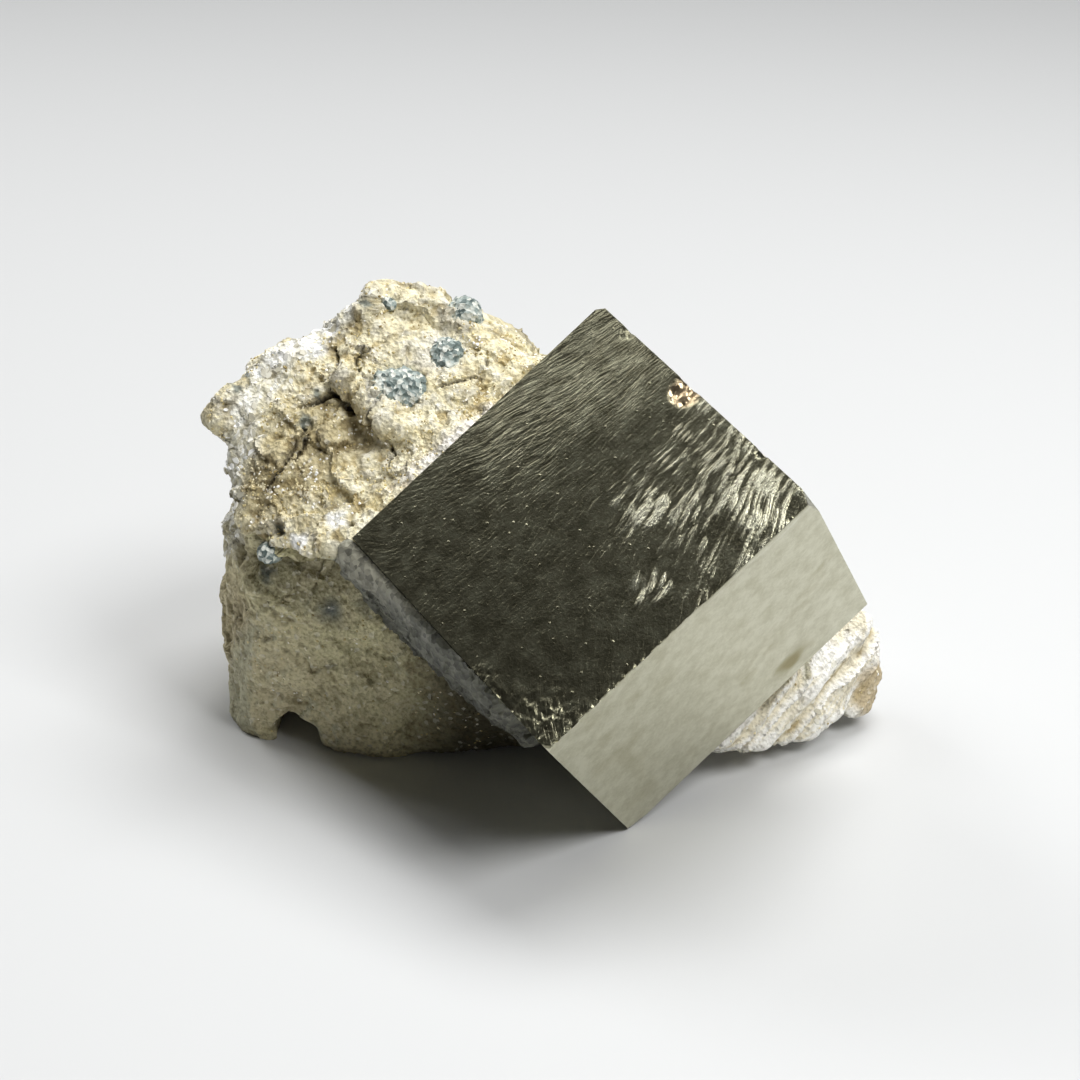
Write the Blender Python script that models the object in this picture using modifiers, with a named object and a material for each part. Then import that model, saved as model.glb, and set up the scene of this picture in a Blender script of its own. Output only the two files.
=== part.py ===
"""A pyrite cube on its matrix: one big crystal grown into a block of pale schist, with a selvage
of grey quartz down one side of the crystal and knots of green-grey chlorite in the rock.

Metres, +Z up, seen from -Y. Lengths are written in millimetres and multiplied by MM.
Everything is laid out from the crystal's lowest corner, which touches the table; stand_on_origin
then moves the specimen so that its box stands centred on the world origin.
"""

import math

import bmesh
import bpy
from mathutils import Matrix, Vector

MM = 0.001

# The crystal, in its own frame: X along its long edge, Y along the edge that runs back up the
# rock, Z out of the broad top face. Its origin is the near corner of that face.
CRYSTAL_LONG = 32.0
CRYSTAL_BACK = 29.6
CRYSTAL_DEEP = 26.4
CRYSTAL_X = Vector((0.7273, 0.3450, 0.5933))
CRYSTAL_Y = Vector((-0.6141, 0.7132, 0.3380))
CRYSTAL_Z = Vector((-0.3066, -0.6102, 0.7305))
EDGE_WEAR = 0.15
GAP = 0.3

# The plane of the table, just above the crystal's corner point because that point is chipped.
TABLE = 0.2

# How the matrix breaks: the grid that joins its blocks, then broad lumps, then small chips.
ROCK_GRID = 0.9
ROCK_KEPT = 0.21
LUMP_SIZE = 7.0
LUMP_HEIGHT = 1.1
CHIP_SIZE = 3.0
CHIP_HEIGHT = 0.8

# The blocks of the matrix, each the hull of its corners. They run through one another.
FOOT_BLOCK = (
    (-36.6, 11.4, 24.0), (-38.3, 15.5, 5.0), (-39.9, 18.0, -1.0), (-40.5, 20.0, 24.0),
    (-41.4, 22.0, 12.5), (-41.3, 23.0, -1.0), (-26.6, 13.4, -0.8), (-13.8, 14.4, 1.9),
    (-4.0, 14.6, 1.2), (-30.0, 10.8, 23.4), (-20.0, 9.6, 17.5), (-9.0, 10.6, 7.0),
    (-38.0, 30.0, 1.5), (-37.0, 36.0, 22.0), (-22.0, 42.0, 1.5), (-18.0, 44.0, 26.0),
    (8.0, 39.0, 3.6), (8.0, 40.0, 21.0),
)
BACK_FOOT = (
    (-30.0, 30.0, -1.5), (-27.0, 40.0, -1.5), (-12.0, 42.5, -1.5), (-8.0, 33.0, -1.5),
    (-18.0, 27.0, -1.5), (-33.0, 34.0, 8.0), (-20.0, 45.0, 12.0), (-4.0, 40.0, 8.0),
)
BROW_BLOCK = (
    (-26.5, 6.0, 27.3), (-31.3, 6.9, 26.4), (-35.6, 8.6, 25.4), (-37.4, 11.5, 28.0),
    (-39.2, 15.5, 31.6), (-37.3, 18.5, 40.2), (-34.4, 20.5, 42.0), (-27.3, 22.8, 44.6),
    (-22.0, 7.4, 22.4), (-14.0, 23.0, 40.0), (-9.7, 23.6, 39.8), (-22.0, 33.0, 42.0),
    (-8.0, 31.0, 36.6), (1.0, 33.0, 32.4), (-34.5, 31.0, 37.5), (-37.0, 30.0, 20.0),
    (0.0, 38.0, 26.0), (-26.0, 40.0, 28.0), (-6.0, 22.0, 20.0), (-20.0, 6.0, 24.0),
)
TOP_PLATE = (
    (-28.0, 16.8, 40.3), (-24.5, 13.2, 36.6), (-27.4, 19.1, 42.9), (-26.2, 22.4, 45.4),
    (-25.2, 24.4, 46.9), (-19.6, 25.2, 46.1), (-16.5, 25.2, 44.4), (-10.5, 24.0, 40.9),
    (-15.2, 13.6, 37.4), (-19.2, 12.2, 34.9), (-9.5, 19.0, 40.0), (-22.0, 31.0, 43.5),
    (-10.0, 30.0, 39.0), (-26.0, 22.0, 38.0), (-14.0, 20.0, 32.0),
)
SPUR_BLOCK = (
    (-40.9, 16.2, 37.6), (-38.6, 15.4, 33.4), (-36.0, 14.5, 36.0), (-37.0, 17.5, 40.0),
    (-37.5, 21.0, 34.0), (-34.0, 20.0, 40.0),
)
SELVAGE_BLOCK = (
    (-26.8, 4.6, 28.4), (-29.2, 6.4, 26.8), (-24.2, 5.2, 22.6), (-19.4, 2.2, 21.4),
    (-15.0, 0.6, 14.6), (-12.6, 1.2, 11.6), (-8.8, -1.2, 10.6), (-9.6, 6.0, 6.2),
    (-20.6, 9.6, 16.6), (-13.6, 12.0, 8.0), (-6.0, 3.0, 8.0), (-22.0, 12.0, 20.0),
)
FLANK_BLOCK = (
    (9.0, 6.2, 5.6), (12.0, 8.2, 4.6), (15.0, 10.0, 3.2), (18.0, 12.6, 2.4), (21.6, 15.0, 3.4),
    (24.4, 17.0, 8.0), (24.6, 18.4, 12.6), (6.0, 14.0, 2.0), (22.0, 24.0, 4.0),
    (20.6, 26.0, 17.0), (8.0, 36.0, 3.0), (8.0, 38.0, 24.0), (-2.0, 14.0, 2.0),
    (-2.0, 16.0, 10.0), (13.0, 33.0, 21.0), (16.0, 30.0, 4.0), (-9.0, 37.0, 4.0),
    (-9.0, 40.0, 23.0),
)
FLANK_LUMP = (
    (25.4, 18.0, 2.2), (26.3, 20.5, 3.0), (26.3, 22.0, 7.4), (25.2, 20.4, 12.4),
    (22.6, 16.6, 2.6), (22.8, 20.0, 1.2), (24.0, 26.0, 6.0), (21.0, 24.0, 13.0),
)
FLANK_FOOT = (
    (12.0, 22.0, -1.5), (19.0, 24.0, -1.5), (17.0, 32.0, -1.5), (9.0, 31.0, -1.5),
    (8.0, 20.0, 8.0), (21.0, 23.0, 8.0), (18.0, 33.0, 8.0), (6.0, 33.0, 8.0),
)
# These two are laid out in the crystal's own frame: rock climbing the side it is set into, and
# the rim of the selvage lying against the side that faces down and left.
COLLAR_BLOCK = (
    (-1.0, 30.0, -0.8), (6.0, 30.0, -0.7), (14.0, 30.0, -1.2), (19.5, 30.0, -2.4),
    (24.5, 30.0, -5.5), (-1.0, 32.6, -2.2), (6.0, 34.5, -2.3), (14.0, 35.5, -3.4),
    (20.0, 35.0, -5.2), (25.0, 35.0, -8.2), (-1.0, 30.0, -10.0), (24.0, 30.0, -14.0),
    (10.0, 38.0, -10.0), (22.0, 40.0, -12.0),
)
SELVAGE_RIM = (
    (0.8, 29.8, -0.9), (0.8, 22.0, -1.3), (0.8, 14.0, -2.4), (0.8, 8.0, -4.0),
    (-1.9, 29.8, -1.6), (-2.3, 22.0, -2.4), (-2.0, 14.0, -3.6), (-1.4, 8.0, -5.2),
    (0.8, 6.0, -12.0), (-1.6, 6.5, -12.0), (0.8, 29.8, -14.0), (-2.3, 29.8, -14.0),
    (-2.3, 16.0, -15.0),
)
ROCK_BLOCKS = (
    FOOT_BLOCK, BACK_FOOT, BROW_BLOCK, TOP_PLATE, SPUR_BLOCK, SELVAGE_BLOCK, FLANK_BLOCK,
    FLANK_LUMP, FLANK_FOOT,
)

# Hollows where pieces of the matrix have broken away.
ARCH = (
    (-37.0, 10.0, -2.0), (-36.6, 10.0, 2.6), (-33.6, 10.0, 4.8), (-31.0, 10.0, 3.2),
    (-30.6, 10.0, -2.0), (-35.5, 24.0, -2.0), (-35.0, 23.0, 3.0), (-32.0, 23.0, 2.4),
    (-31.5, 24.0, -2.0),
)
BROW_NOTCH = (
    (-35.4, 5.0, 29.0), (-33.4, 5.0, 31.2), (-32.6, 5.0, 28.4), (-34.6, 5.0, 27.8),
    (-33.9, 10.4, 30.0),
)

# The knots of chlorite: centre, the three half-widths, and how far each leans back with the face.
KNOTS = (
    ((-22.3, 16.96, 39.07), (2.8, 1.4, 2.1), -40.0),
    ((-17.7, 19.73, 41.3), (1.6, 1.3, 1.9), -40.0),
    ((-16.1, 24.2, 43.9), (1.75, 1.6, 1.9), 0.0),
    ((-23.5, 23.2, 45.5), (0.85, 0.8, 0.8), -30.0),
    ((-34.55, 9.8, 25.35), (1.3, 1.3, 1.0), 0.0),
)


def clear_scene():
    for thing in list(bpy.data.objects):
        bpy.data.objects.remove(thing)


def collection(name):
    made = bpy.data.collections.new(name)
    bpy.context.scene.collection.children.link(made)
    return made


def finish(name, colour, roughness, metallic=0.0):
    """A plain material."""
    made = bpy.data.materials.new(name)
    made.use_nodes = True
    shader = made.node_tree.nodes["Principled BSDF"]
    shader.inputs["Base Color"].default_value = (*colour, 1.0)
    shader.inputs["Roughness"].default_value = roughness
    shader.inputs["Metallic"].default_value = metallic
    return made


def object_from(name, shape, where, material=None):
    mesh = bpy.data.meshes.new(name)
    shape.to_mesh(mesh)
    shape.free()
    made = bpy.data.objects.new(name, mesh)
    where.objects.link(made)
    if material:
        mesh.materials.append(material)
    return made


def cutter_from(name, shape, where):
    made = object_from(name, shape, where)
    made.hide_render = True
    made.display_type = "WIRE"
    return made


def add_hull(shape, corners):
    """One broken block: the convex hull of its corners."""
    points = [shape.verts.new(Vector(corner) * MM) for corner in corners]
    made = bmesh.ops.convex_hull(shape, input=points)
    inside = {v for v in made["geom_interior"] + made["geom_unused"]
              if isinstance(v, bmesh.types.BMVert)}
    bmesh.ops.delete(shape, geom=list(inside), context="VERTS")


def hull(corners):
    shape = bmesh.new()
    add_hull(shape, corners)
    return shape


def add_modifier(thing, kind, **settings):
    made = thing.modifiers.new(kind.title(), kind)
    for key, value in settings.items():
        setattr(made, key, value)
    return made


def cut(thing, cutter, operation="DIFFERENCE"):
    add_modifier(thing, "BOOLEAN", operation=operation, solver="EXACT", object=cutter)


def crystal_turn():
    return Matrix((CRYSTAL_X, CRYSTAL_Y, CRYSTAL_Z)).transposed()


def place_in_crystal(thing):
    """Turn a shape drawn in the crystal's own frame to where the crystal lies in the rock."""
    thing.rotation_euler = crystal_turn().to_euler()
    thing.location = CRYSTAL_Z * CRYSTAL_DEEP * MM


def crystal_box(grow=0.0):
    shape = bmesh.new()
    bmesh.ops.create_cube(shape, size=1.0)
    size = Vector((CRYSTAL_LONG, CRYSTAL_BACK, CRYSTAL_DEEP))
    bmesh.ops.scale(shape, vec=(size + Vector((grow, grow, grow)) * 2) * MM, verts=shape.verts)
    middle = Vector((CRYSTAL_LONG, CRYSTAL_BACK, -CRYSTAL_DEEP)) * 0.5 * MM
    bmesh.ops.translate(shape, vec=middle, verts=shape.verts)
    return shape


def corner_chip(corner, along_x, along_y, along_z):
    """A cutter that takes a corner off, through one point on each of its three edges."""
    corner = Vector(corner)
    cuts = [corner + Vector((along_x, 0, 0)), corner + Vector((0, along_y, 0)),
            corner + Vector((0, 0, along_z))]
    middle = (cuts[0] + cuts[1] + cuts[2]) / 3
    wide = [middle + (point - middle) * 3 for point in cuts]
    return hull(wide + [corner + (corner - middle) * 3])


def dent(centre, radius):
    """A cutter for a small hollow in a face or an edge."""
    shape = bmesh.new()
    bmesh.ops.create_icosphere(shape, subdivisions=1, radius=radius * MM)
    bmesh.ops.translate(shape, vec=Vector(centre) * MM, verts=shape.verts)
    return shape


def add_crystal(where, cutters, material):
    """The cube, with the worn edges, broken corners and small losses of a handled crystal."""
    crystal = object_from("pyrite_crystal", crystal_box(), where, material)
    place_in_crystal(crystal)
    add_modifier(crystal, "BEVEL", width=EDGE_WEAR * MM, segments=1)
    chips = {
        "chip_top": corner_chip((CRYSTAL_LONG, CRYSTAL_BACK, 0), -0.8, -0.7, -1.0),
        "chip_right": corner_chip((CRYSTAL_LONG, 0, 0), -0.7, 1.5, -3.0),
        "chip_near": corner_chip((0, 0, 0), 0.7, 0.9, -0.7),
        "chip_tip": corner_chip((0, 0, -CRYSTAL_DEEP), 2.6, 0.4, 0.7),
        "dent_top": dent((CRYSTAL_LONG + 0.35, 25.3, 0.25), 0.8),
        "dent_middle": dent((CRYSTAL_LONG - 0.6, 16.6, 1.35), 1.7),
        "dent_notch": dent((CRYSTAL_LONG + 0.1, 6.7, 0.1), 0.7),
    }
    for name, shape in chips.items():
        cutter = cutter_from(name, shape, cutters)
        place_in_crystal(cutter)
        cut(crystal, cutter)


def noise_texture(name, kind, size):
    made = bpy.data.textures.new(name, kind)
    made.noise_scale = size * MM
    return made


def rock_body(name, where, material, lumps, chips):
    """The blocks grown together into one rough mass."""
    shape = bmesh.new()
    for corners in ROCK_BLOCKS:
        add_hull(shape, corners)
    lift = CRYSTAL_Z * CRYSTAL_DEEP
    for corners in (COLLAR_BLOCK, SELVAGE_RIM):
        add_hull(shape, [crystal_turn() @ Vector(corner) + lift for corner in corners])
    rock = object_from(name, shape, where, material)
    add_modifier(rock, "REMESH", mode="VOXEL", voxel_size=ROCK_GRID * MM)
    add_modifier(rock, "DISPLACE", texture=lumps, strength=LUMP_HEIGHT * MM, mid_level=0.5)
    add_modifier(rock, "DISPLACE", texture=chips, strength=CHIP_HEIGHT * MM, mid_level=0.5)
    add_modifier(rock, "DECIMATE", ratio=ROCK_KEPT)
    return rock


def knot_shape(half_widths, grow=0.0):
    shape = bmesh.new()
    bmesh.ops.create_icosphere(shape, subdivisions=2, radius=MM)
    bmesh.ops.scale(shape, vec=Vector(half_widths) + Vector((grow, grow, grow)), verts=shape.verts)
    return shape


def place_knot(thing, centre, lean):
    thing.location = Vector(centre) * MM
    thing.rotation_euler = (math.radians(lean), 0, 0)


def selvage_slab(grow=0.0):
    """The side of the crystal that the quartz lies against, drawn in the crystal's frame."""
    near, far = -GAP + grow, -3.4 - grow
    low, high = 2.6 - grow, 30.4 + grow
    top, foot = 0.2 + grow, -17.0 - grow
    return hull([(x, y, z) for x in (near, far) for y in (low, high) for z in (top, foot)])


def add_rock(where, cutters, material, quartz, chlorite):
    """The matrix, the quartz selvage and the chlorite knots, each cut to lie clear of the rest."""
    lumps = noise_texture("lumps", "CLOUDS", LUMP_SIZE)
    chips = noise_texture("chips", "VORONOI", CHIP_SIZE)
    rock = rock_body("matrix_rock", where, material, lumps, chips)

    socket = cutter_from("crystal_socket", crystal_box(GAP), cutters)
    place_in_crystal(socket)
    under = bmesh.new()
    bmesh.ops.create_cube(under, size=200 * MM)
    bmesh.ops.translate(under, vec=(0, 0, (TABLE - 100) * MM), verts=under.verts)
    table = cutter_from("table", under, cutters)
    for cutter in (socket, table, cutter_from("arch", hull(ARCH), cutters),
                   cutter_from("brow_notch", hull(BROW_NOTCH), cutters)):
        cut(rock, cutter)

    selvage = rock_body("quartz_selvage", where, quartz, lumps, chips)
    cut(selvage, socket)
    slab = cutter_from("selvage_slab", selvage_slab(), cutters)
    place_in_crystal(slab)
    cut(selvage, slab, "INTERSECT")
    seat = cutter_from("selvage_seat", selvage_slab(GAP), cutters)
    place_in_crystal(seat)
    cut(rock, seat)

    for number, (centre, half_widths, lean) in enumerate(KNOTS, 1):
        knot = object_from("chlorite_knot_%d" % number, knot_shape(half_widths), where, chlorite)
        place_knot(knot, centre, lean)
        hole = cutter_from("knot_socket_%d" % number, knot_shape(half_widths, GAP), cutters)
        place_knot(hole, centre, lean)
        cut(rock, hole)


def stand_on_origin(specimen, cutters):
    """Centre the box of the whole specimen over the origin, with its lowest point at Z = 0."""
    graph = bpy.context.evaluated_depsgraph_get()
    points = []
    for thing in specimen.objects:
        solid = thing.evaluated_get(graph)
        points += [solid.matrix_world @ vertex.co for vertex in solid.data.vertices]
    low = [min(point[axis] for point in points) for axis in range(3)]
    high = [max(point[axis] for point in points) for axis in range(3)]
    move = Vector((-(low[0] + high[0]) / 2, -(low[1] + high[1]) / 2, -low[2]))
    for thing in list(specimen.objects) + list(cutters.objects):
        thing.location += move


clear_scene()
SPECIMEN = collection("pyrite_specimen")
CUTTERS = collection("cutters")
add_crystal(SPECIMEN, CUTTERS, finish("pyrite", (0.56, 0.53, 0.42), 0.22, 1.0))
add_rock(SPECIMEN, CUTTERS, finish("schist", (0.52, 0.46, 0.34), 0.9),
         finish("quartz", (0.30, 0.32, 0.33), 0.6), finish("chlorite", (0.22, 0.28, 0.28), 0.7))
stand_on_origin(SPECIMEN, CUTTERS)
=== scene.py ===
import math

import bmesh
import bpy
import numpy as np
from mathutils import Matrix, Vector
from mathutils.bvhtree import BVHTree


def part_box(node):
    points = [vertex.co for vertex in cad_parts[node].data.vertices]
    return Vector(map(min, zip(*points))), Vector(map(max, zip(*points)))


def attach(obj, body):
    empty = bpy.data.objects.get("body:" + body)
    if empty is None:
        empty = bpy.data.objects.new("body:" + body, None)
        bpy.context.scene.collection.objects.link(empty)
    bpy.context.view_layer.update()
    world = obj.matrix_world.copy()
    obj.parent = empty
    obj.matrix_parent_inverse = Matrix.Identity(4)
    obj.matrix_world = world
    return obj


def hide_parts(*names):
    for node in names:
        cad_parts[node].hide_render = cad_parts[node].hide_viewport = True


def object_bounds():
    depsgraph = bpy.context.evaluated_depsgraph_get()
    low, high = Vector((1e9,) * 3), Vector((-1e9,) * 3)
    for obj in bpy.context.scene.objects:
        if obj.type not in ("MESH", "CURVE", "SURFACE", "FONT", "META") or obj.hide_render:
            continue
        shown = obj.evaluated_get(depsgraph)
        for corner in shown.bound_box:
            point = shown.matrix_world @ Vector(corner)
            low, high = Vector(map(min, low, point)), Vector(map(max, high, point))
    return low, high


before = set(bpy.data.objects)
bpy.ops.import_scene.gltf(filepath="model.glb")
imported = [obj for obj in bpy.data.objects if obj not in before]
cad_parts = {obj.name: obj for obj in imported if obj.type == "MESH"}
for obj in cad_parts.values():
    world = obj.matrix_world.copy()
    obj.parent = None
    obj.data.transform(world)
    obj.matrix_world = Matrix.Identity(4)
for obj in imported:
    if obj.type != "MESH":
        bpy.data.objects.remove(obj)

cad_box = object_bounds()

# ---------------------------------------------------------------------------------------------
# The matrix: a broken block of pale mica schist, cream to brown, that the crystal grew in.
# Its sloping upper face is a fresh break, raised in plates with cracks between them that are
# painted dark as shade; the split layers show silvery along its left edge, and below the brow
# an older, stained face is set back in the shade, which is also painted into its colour, with
# the crystal's shadow painted on it. Lengths here are millimetres from TIP, the crystal's lowest
# corner.

MM = 0.001
CRYSTAL_SIZE = np.array((32.0, 29.6, 26.4))
CRYSTAL_AXES = np.array(((0.7273, 0.3450, 0.5933), (-0.6141, 0.7132, 0.3380),
                         (-0.3066, -0.6102, 0.7305)))
CRYSTAL_LOW_CORNER = np.array((-26.09, -15.83, 0.21))
TIP = np.array(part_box("pyrite_crystal")[0]) / MM - CRYSTAL_LOW_CORNER
NEAR_CORNER = CRYSTAL_AXES[2] * CRYSTAL_SIZE[2]
TABLE_LEVEL = cad_box[0][2] / MM - TIP[2]

ROCK_CELL = 0.27
ROCK_KEPT = 0.57
CLEAR_OF_TABLE = 0.8


def settle(piece):
    """Turns a piece's modifiers into plain mesh."""
    graph = bpy.context.evaluated_depsgraph_get()
    mesh = bpy.data.meshes.new_from_object(piece.evaluated_get(graph))
    piece.modifiers.clear()
    piece.data = mesh
    return piece


def regrown(node, name, cell):
    """A copy of a CAD piece with its skin rebuilt in even cells, ready to be roughened."""
    shape = bmesh.new()
    shape.from_mesh(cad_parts[node].data)
    bmesh.ops.remove_doubles(shape, verts=shape.verts, dist=1e-6)
    mesh = bpy.data.meshes.new(name)
    shape.to_mesh(mesh)
    shape.free()
    mesh.materials.clear()
    piece = bpy.data.objects.new(name, mesh)
    bpy.context.scene.collection.objects.link(piece)
    skin = piece.modifiers.new("Skin", "REMESH")
    skin.mode = "VOXEL"
    skin.voxel_size = cell * MM
    return settle(piece)


def smoothed(piece, times):
    soften = piece.modifiers.new("Soften", "SMOOTH")
    soften.factor = 0.5
    soften.iterations = times
    return settle(piece)


def thinned(piece, share, where):
    """Drops faces until a share is left, taking them only from where the number is above 0."""
    group = piece.vertex_groups.new(name="plain")
    for index in np.flatnonzero(where > 0.5):
        group.add([int(index)], 1.0, "REPLACE")
    thin = piece.modifiers.new("Thin", "DECIMATE")
    thin.ratio = share
    thin.vertex_group = group.name
    settle(piece)
    piece.vertex_groups.clear()
    return piece


def read(piece, what="co"):
    """Points in millimetres from the crystal's tip, or the skin's normals."""
    values = np.empty(len(piece.data.vertices) * 3, np.float32)
    if what == "co":
        piece.data.vertices.foreach_get("co", values)
        return values.reshape(-1, 3).astype(float) / MM - TIP
    piece.data.vertices.foreach_get("normal", values)
    return values.reshape(-1, 3).astype(float)


def write(piece, points):
    piece.data.vertices.foreach_set("co", ((points + TIP) * MM).astype(np.float32).ravel())
    piece.data.update()


def chance(cell, seed):
    """A repeatable number from 0 to 1 for each whole-number cell of space."""
    cell = cell.astype(np.int64).astype(np.uint32)
    key = cell[:, 0] * np.uint32(2654435761) ^ cell[:, 1] * np.uint32(2246822519)
    key ^= cell[:, 2] * np.uint32(3266489917) + np.uint32(seed * 668265263 & 0xFFFFFFFF)
    for shift, factor in ((15, 739247), (12, 2654435769), (15, 1540483477), (13, 1)):
        key = (key ^ (key >> np.uint32(shift))) * np.uint32(factor)
    return key / 4294967296.0


def cloud(points, size, seed):
    """Soft lumps about the given size across, from -1 to 1."""
    spot = points / size
    base = np.floor(spot)
    part = spot - base
    part = part * part * (3 - 2 * part)
    total = np.zeros(len(points))
    for corner in ((x, y, z) for x in (0, 1) for y in (0, 1) for z in (0, 1)):
        share = np.prod(np.where(corner, part, 1 - part), axis=1)
        total += share * chance(base + corner, seed)
    return 2 * total - 1


def rough(points, size, seed, octaves=3):
    """Clouds on clouds, each half the size of the last."""
    total = np.zeros(len(points))
    for step in range(octaves):
        total += cloud(points, size / 2 ** step, seed + step) / 2 ** step
    return total


def facets(points, size, seed, tilt=0.5):
    """Small broken planes: each cell of rock gets its own level and its own tilt."""
    spot = points / size
    base = np.floor(spot)
    nearest = np.full(len(points), 1e9)
    second = np.full(len(points), 1e9)
    level = np.zeros(len(points))
    for offset in ((x, y, z) for x in (-1, 0, 1) for y in (-1, 0, 1) for z in (-1, 0, 1)):
        cell = base + offset
        heart = cell + np.stack([chance(cell, seed + i) for i in range(3)], axis=1)
        lean = np.stack([chance(cell, seed + 3 + i) for i in range(3)], axis=1) * 2 - 1
        away = spot - heart
        far = np.sum(away * away, axis=1)
        here = (chance(cell, seed + 6) - 0.5) + tilt * np.sum(away * lean, axis=1)
        closer = far < nearest
        second = np.where(closer, nearest, np.minimum(second, far))
        level = np.where(closer, here, level)
        nearest = np.where(closer, far, nearest)
    return level, np.sqrt(second) - np.sqrt(nearest)


def ease(low, high, value):
    """0 below low, 1 above high, smooth between."""
    part = np.clip((value - low) / (high - low), 0, 1)
    return part * part * (3 - 2 * part)


def near_line(across, up, corners):
    """Distance on a face from a broken line through the corners, and how far along it is."""
    best = np.full(len(across), 1e9)
    along = np.zeros(len(across))
    side = np.zeros(len(across))
    for step, (start, end) in enumerate(zip(corners[:-1], corners[1:])):
        start, end = np.array(start), np.array(end)
        run = end - start
        length = np.linalg.norm(run)
        run = run / length
        part = np.clip((across - start[0]) * run[0] + (up - start[1]) * run[1], 0, length)
        gap_x = across - start[0] - run[0] * part
        gap_y = up - start[1] - run[1] * part
        gap = np.hypot(gap_x, gap_y)
        closer = gap < best
        best = np.where(closer, gap, best)
        along = np.where(closer, (step + part / length) / (len(corners) - 1), along)
        side = np.where(closer, run[0] * gap_y - run[1] * gap_x, side)
    return best, along, side


def blob(points, centre, radius, softness=0.4):
    """1 inside a ball, easing to 0 at its radius."""
    far = np.linalg.norm(points - np.array(centre), axis=1)
    return 1 - ease(radius * (1 - softness), radius, far)


def in_crystal(points):
    """Points in the crystal's frame, from the near corner of its broad top face."""
    return (points - NEAR_CORNER) @ CRYSTAL_AXES.T


def beside_crystal(points):
    """Distance outside the crystal's faces, and the way straight out of it."""
    local = in_crystal(points)
    middle = np.array((CRYSTAL_SIZE[0], CRYSTAL_SIZE[1], -CRYSTAL_SIZE[2])) / 2
    offset = local - middle
    over = np.abs(offset) - CRYSTAL_SIZE / 2
    out = np.where(over > 0, over, 0) * np.sign(offset)
    far = np.linalg.norm(out, axis=1)
    way = out / np.maximum(far, 1e-6)[:, None] @ CRYSTAL_AXES
    return far, way


# The break's slope, the brow that it starts from, and the ways up it and out of it. Then the
# ways that the split layers stack at the left, and the folds at the right.
SLOPE = math.radians(47.7)
BROW = np.array((0.0, 6.0, 27.0))
UP_SLOPE = np.array((0.0, math.cos(SLOPE), math.sin(SLOPE)))
OUT_OF_SLOPE = np.array((0.0, -math.sin(SLOPE), math.cos(SLOPE)))
ACROSS_SPLITS = (-0.88, 0.32, 0.35)
ACROSS_FOLDS = (-0.50, -0.25, 0.83)


def zones(points, normals):
    """Where each kind of rock surface is, as numbers from 0 to 1."""
    across = points[:, 0]
    up = (points - BROW) @ UP_SLOPE
    out = (points - BROW) @ OUT_OF_SLOPE
    front = ease(-0.25, 0.35, normals @ OUT_OF_SLOPE)
    wander = rough(points, 3.0, 40)
    upper = front * ease(-1.5, 1.0, up + 0.8 * wander) * ease(8.0, 2.0, -out)
    under_brow = ease(0.5, -1.5, up - 0.2 * out) * ease(27.5, 25.5, points[:, 2])
    right = ease(4.0, 7.0, across) * ease(20.0, 16.0, points[:, 2])
    silver_line, _, _ = near_line(across, up, ((-39.2, 3.0), (-38.4, 9.0), (-36.4, 15.6),
                                               (-33.4, 20.4), (-29.4, 23.8), (-26.6, 26.6)))
    silver = ease(2.0, 0.5, silver_line + 0.8 * wander) * ease(2.0, 6.0, up)
    silver *= ease(26.0, 21.0, points[:, 1] - 0.25 * (across + 36))
    recess_line, _, _ = near_line(across, up, ((-34.0, 7.5), (-30.5, 12.0), (-27.6, 12.6)))
    recess = upper * ease(4.6, 2.2, recess_line + 0.9 * wander)
    return dict(across=across, up=up, upper=upper, under=under_brow, right=right,
                silver=silver, recess=recess, wander=wander)


def layered(points, way, size, seed, wander):
    """Ridges of split layers stacked along the given way, running on unevenly."""
    way = np.array(way) / np.linalg.norm(way)
    height = points @ way + wander
    stack = np.stack([height / size, cloud(points, size * 9, seed) * 0.8,
                      cloud(points, size * 7, seed + 1) * 0.8], axis=1)
    return 1 - np.abs(cloud(stack, 1.0, seed + 2)) * 2


def warped(points, size, amount, seed):
    """Points pushed about, so that a pattern read at them loses its straight lines."""
    return points + amount * np.stack([cloud(points, size, seed + i) for i in range(3)], axis=1)


def shelf(line, side, reach, softness=0.25):
    """1 just to one side of a line, fading over reach away from it."""
    gap, _, across = line
    return ease(0.0, softness, across * side) * ease(reach, reach * 0.3, gap)


# Cracks in the break's face, as points across it and up it, then their width and depth.
CRACKS = (
    (((-31.4, 14.9), (-29.3, 15.9), (-28.2, 16.1)), 0.35, 0.9),
    (((-28.8, 16.6), (-28.2, 16.1), (-26.2, 13.7), (-25.0, 12.1)), 0.36, 1.6),
    (((-25.6, 12.9), (-24.9, 12.3), (-24.3, 13.0)), 0.36, 1.4),
    (((-28.4, 21.2), (-28.2, 18.6), (-28.5, 16.8)), 0.28, 0.9),
    (((-24.5, 12.8), (-24.4, 14.6), (-25.2, 16.6), (-26.3, 18.8), (-25.6, 20.6)), 0.26, 0.7),
    (((-23.3, 11.4), (-22.8, 9.8), (-22.6, 8.4)), 0.22, 0.7),
    (((-35.0, 6.7), (-33.4, 8.6), (-31.9, 10.7), (-31.4, 12.4)), 0.25, 0.4),
    (((-18.6, 16.2), (-17.8, 16.5), (-16.4, 16.9), (-14.7, 17.6)), 0.22, 0.5),
    (((-13.9, 19.9), (-14.2, 18.3)), 0.25, 0.5),
    (((-31.6, 13.0), (-31.0, 11.2), (-31.9, 9.6)), 0.3, 0.6),
)


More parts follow.
